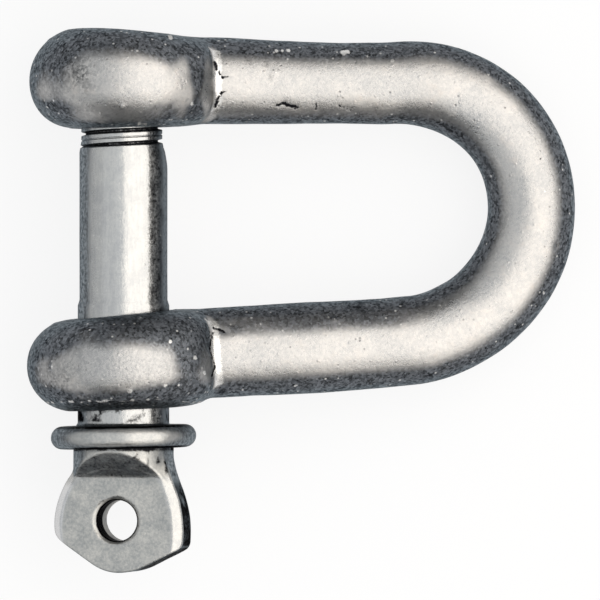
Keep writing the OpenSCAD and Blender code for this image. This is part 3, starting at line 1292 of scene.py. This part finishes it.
        # Painted shade along both lips of the collar.
        from_rim = np.abs(y - self.seat_y + edge) / edge
        lip = eased(from_rim, ((0.68, 0.0), (0.90, 1.0))) * (from_rim < 1.3)
        lip = lip * eased(np.abs(x), ((0.6, 1.0), (0.9, 0.45)))
        return np.maximum.reduce([
            root * on_root,
            shaded_side * np.clip(0.40 + 0.08 * blotches, 0.0, 0.7),
            (0.8 + 0.35 * blotches) * lip * eased(r, ((6.4, 0.3), (7.1, 1.0))),
        ])

    def _eye(self) -> Skin:
        """Sculpted neck and eye, set on the pin's axis.

        Returns:
            The skin, let into the collar.
        """
        sculptor = Sculptor(self.head, self.step)
        skin = sculptor.skin(*self.eye_space)
        slope = sculptor.normals(skin.points)
        slope /= np.linalg.norm(slope, axis=1, keepdims=True)
        uneven = Unevenness(self.eye_seed)
        lift = 0.035 * uneven.at(skin.points, 2.6) + 0.012 * uneven.at(skin.points, 0.9)
        blots = uneven.at(skin.points, 1.0) + 0.5 * uneven.at(skin.points, 0.5)
        u, s, w = (skin.points + slope * lift[:, None]).T
        a = math.radians(self.turn)
        y = self.seat_y - self.collar_t - s
        points = np.stack([u * math.cos(a) - w * math.sin(a), y, u * math.sin(a) + w * math.cos(a)], -1)
        return Skin(points, skin.quads[:, ::-1], self._eye_marks(u, s, w, blots))

    def _eye_marks(self, u: Array, s: Array, w: Array, blots: Array) -> dict[Mark, Array]:
        """Painted shade, painted highlights and dark blots on the neck and the eye.

        Args:
            u: across the eye.
            s: away from the collar.
            w: through the eye.
            blots: noise at each point.

        Returns:
            The marks' levels at each point.
        """
        half_t, ramp_end = self.eye_half_t, self.ramp_end
        from_hole = np.hypot(u - self.eye_off, s - self.hole_s) - self.hole_r
        bore = np.clip(1.0 - from_hole / 0.2, 0.0, 1.0)
        ring = from_hole - self.hole_chamfer
        upper = w > 2.0
        slant = np.exp(-(self.bevel(u, s, w) / 0.2) ** 2) * eased(s, ((1.5, 0.0), (ramp_end, 1.0)))
        rim = np.minimum(np.abs(self.side(u, s)), np.abs(self.tip(u, s)))
        wall = np.exp(-(rim / 0.2) ** 2) * (1.0 - slant) * eased(u, ((0.0, 0.0), (3.0, 1.0)))
        wall = wall * eased(s, ((ramp_end - 1.0, 0.0), (ramp_end + 2.0, 1.0)))
        wall = wall * eased(np.abs(w), ((half_t - 0.4, 1.0), (half_t - 0.05, 0.0)))
        ramp = (s > self.ramp_start) * (s < ramp_end) * (np.abs(w) > half_t + 0.1)
        ramp = ramp * (np.hypot(u, w) < self.neck_r - 0.12)
        # Painted shade on the upper part of the hole's wall, on the side wall and tip at positive u, on the
        # ramp and where the neck meets the collar; dark blots on the neck at positive u; a thin dark line
        # round the chamfer's outer edge on the upper face.
        soil = np.maximum.reduce([
            bore * eased(w, ((-0.7, 0.0), (0.5, 1.0), (2.1, 1.0), (2.5, 0.3))),
            wall * np.clip(0.52 + 0.2 * blots, 0.0, 0.7),
            ramp * np.clip(0.3 + 0.1 * blots, 0.0, 0.5),
            np.clip(0.5 + 0.3 * blots, 0.0, 0.7) * eased(s, ((0.1, 1.0), (0.5, 0.0))),
            np.clip(blots - 0.3, 0.0, 0.6) * eased(s, ((2.0, 1.0), (4.5, 0.0))) * (u > 1.5),
            np.exp(-(ring / 0.14) ** 2) * np.clip(0.25 + 0.3 * blots, 0.0, 0.5) * upper,
        ])
        # Painted highlights on the bevels, stronger at negative u, on the lower part of the hole's wall and
        # on the chamfer.
        flash = (u < 0.0) * eased(s, ((ramp_end, 0.0), (ramp_end + 1.5, 1.0)))
        glint = np.maximum.reduce([slant * (1.0 + flash), bore * (w < -0.1), (ring < 0.0) * upper])
        return {Mark.SOIL_AND_SHADE: soil, Mark.GLINT: glint, Mark.SATIN: 1.0 - 0.7 * slant}

    def build(self) -> Skin:
        """Lathes the shank and sculpts the head."""
        return self._shank() + self._eye()

    def dress(self, tilt: float) -> bpy.types.Object:
        """Makes the pin's piece and hangs it on its body.

        Args:
            tilt: the shackle's turn about the pin's axis at rest.

        Returns:
            The piece.
        """
        piece = self.build().object("screw_pin_with_eye", tilt, BrightZinc().material())
        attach(piece, "pin")
        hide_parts("screw_pin")
        return piece


class Panel(Enum):
    """The soft boxes over the table."""

    KEY = "key_panel"
    NEAR = "near_wing"
    FAR = "far_wing"
    BLEND = "blend_panel"
    FILL = "fill_panel"
    LOW = "low_panel"


@dataclass
class Studio:
    """Pale floor, soft boxes, dim surroundings and the camera."""

    middle: tuple[float, float] = (20.06, -9.97)
    field_mm: float = 68.18
    lens: float = 600.0
    panel_reach: float = 0.5
    key_level: float = 1.9
    near_level: float = 1.2
    far_level: float = 0.88
    blend_level: float = 0.9
    fill_level: float = 0.8
    low_level: float = 0.6
    key_span: Span = (0.0, 74.0)
    blend_span: Span = (-22.0, 0.0)
    fill_span: Span = (-56.0, -22.0)
    low_span: Span = (-89.0, -56.0)
    key_y: float = 0.38
    wing_y: float = 0.9
    fill_y: float = 0.62
    key_colour: Colour = (1.0, 0.964, 0.915)
    fill_colour: Colour = (0.96, 0.985, 1.0)
    around: float = 0.07
    around_colour: Colour = (0.96, 0.98, 1.0)
    floor_half: float = 3.0
    floor_gap: float = 0.00002

    def _panel(self, panel: Panel, span: Span, length: Span, level: float, colour: Colour) -> None:
        """Hangs one soft box over the shackle.

        Args:
            panel: which box.
            span: angles from straight up to its two edges, towards the bend, in degrees.
            length: places of its two ends along the pin, in metres.
            level: its brightness.
            colour: its tint.
        """
        angles = [math.radians(a) for a in span]
        ends = [Vector((math.sin(a), 0.0, math.cos(a))) * self.panel_reach for a in angles]
        middle = (ends[0] + ends[1]) / 2.0
        width, height = (ends[1] - ends[0]).length, length[1] - length[0]
        light = bpy.data.lights.new(panel.value, "AREA")
        light.shape, light.size, light.size_y = "RECTANGLE", width, height
        light.color = colour
        light.energy = level * math.pi * width * height
        made = bpy.data.objects.new(panel.value, light)
        made.location = middle + Vector((self.middle[0] * MM, self.middle[1] * MM + sum(length) / 2.0, 0.0))
        made.rotation_euler = (0.0, math.atan2(middle.x, middle.z), 0.0)
        made.visible_camera = False
        bpy.context.scene.collection.objects.link(made)

    def _floor(self) -> None:
        """Lays the floor under the shackle's lowest points."""
        level, half = CAD_BOX[0].z - self.floor_gap, self.floor_half
        mesh = bpy.data.meshes.new("pale_floor")
        corners = [(x, y, level) for x, y in ((-half, -half), (half, -half), (half, half), (-half, half))]
        mesh.from_pydata(corners, [], [(0, 1, 2, 3)])
        mesh.materials.append(PaleFloor().material())
        floor = bpy.data.objects.new("pale_floor", mesh)
        bpy.context.scene.collection.objects.link(floor)

    def _camera(self) -> None:
        """Sets the camera straight above the shackle."""
        data = bpy.data.cameras.new("camera")
        data.lens = self.lens
        camera = bpy.data.objects.new("camera", data)
        height = self.field_mm * MM * self.lens / data.sensor_width
        camera.location = (self.middle[0] * MM, self.middle[1] * MM, height)
        data.clip_start, data.clip_end = 0.01, 20.0
        bpy.context.scene.collection.objects.link(camera)
        bpy.context.scene.camera = camera

    def build(self) -> None:
        """Sets up the floor, the lights, the surroundings and the camera."""
        self._floor()
        for panel, length, level in (
                (Panel.KEY, (-self.key_y, self.key_y), self.key_level),
                (Panel.NEAR, (-self.wing_y, -self.key_y), self.near_level),
                (Panel.FAR, (self.key_y, self.wing_y), self.far_level)):
            self._panel(panel, self.key_span, length, level, self.key_colour)
        for panel, span, level in (
                (Panel.BLEND, self.blend_span, self.blend_level),
                (Panel.FILL, self.fill_span, self.fill_level),
                (Panel.LOW, self.low_span, self.low_level)):
            self._panel(panel, span, (-self.fill_y, self.fill_y), level, self.fill_colour)
        world = bpy.data.worlds.new("dim_room")
        world.use_nodes = True
        background = world.node_tree.nodes["Background"]
        background.inputs["Color"].default_value = (*self.around_colour, 1.0)
        background.inputs["Strength"].default_value = self.around
        bpy.context.scene.world = world
        bpy.context.scene.view_settings.view_transform = "Standard"
        self._camera()


def main() -> None:
    """Builds the studio and the shackle's two pieces."""
    logging.basicConfig(level=logging.INFO, format="%(name)s: %(message)s")
    Studio().build()
    bow = Bow()
    for piece in (bow.dress(), ScrewPin(bow).dress(bow.tilt)):
        log.info("%s has %d faces", piece.name, len(piece.data.polygons))


if __name__ == "__main__":
    main()
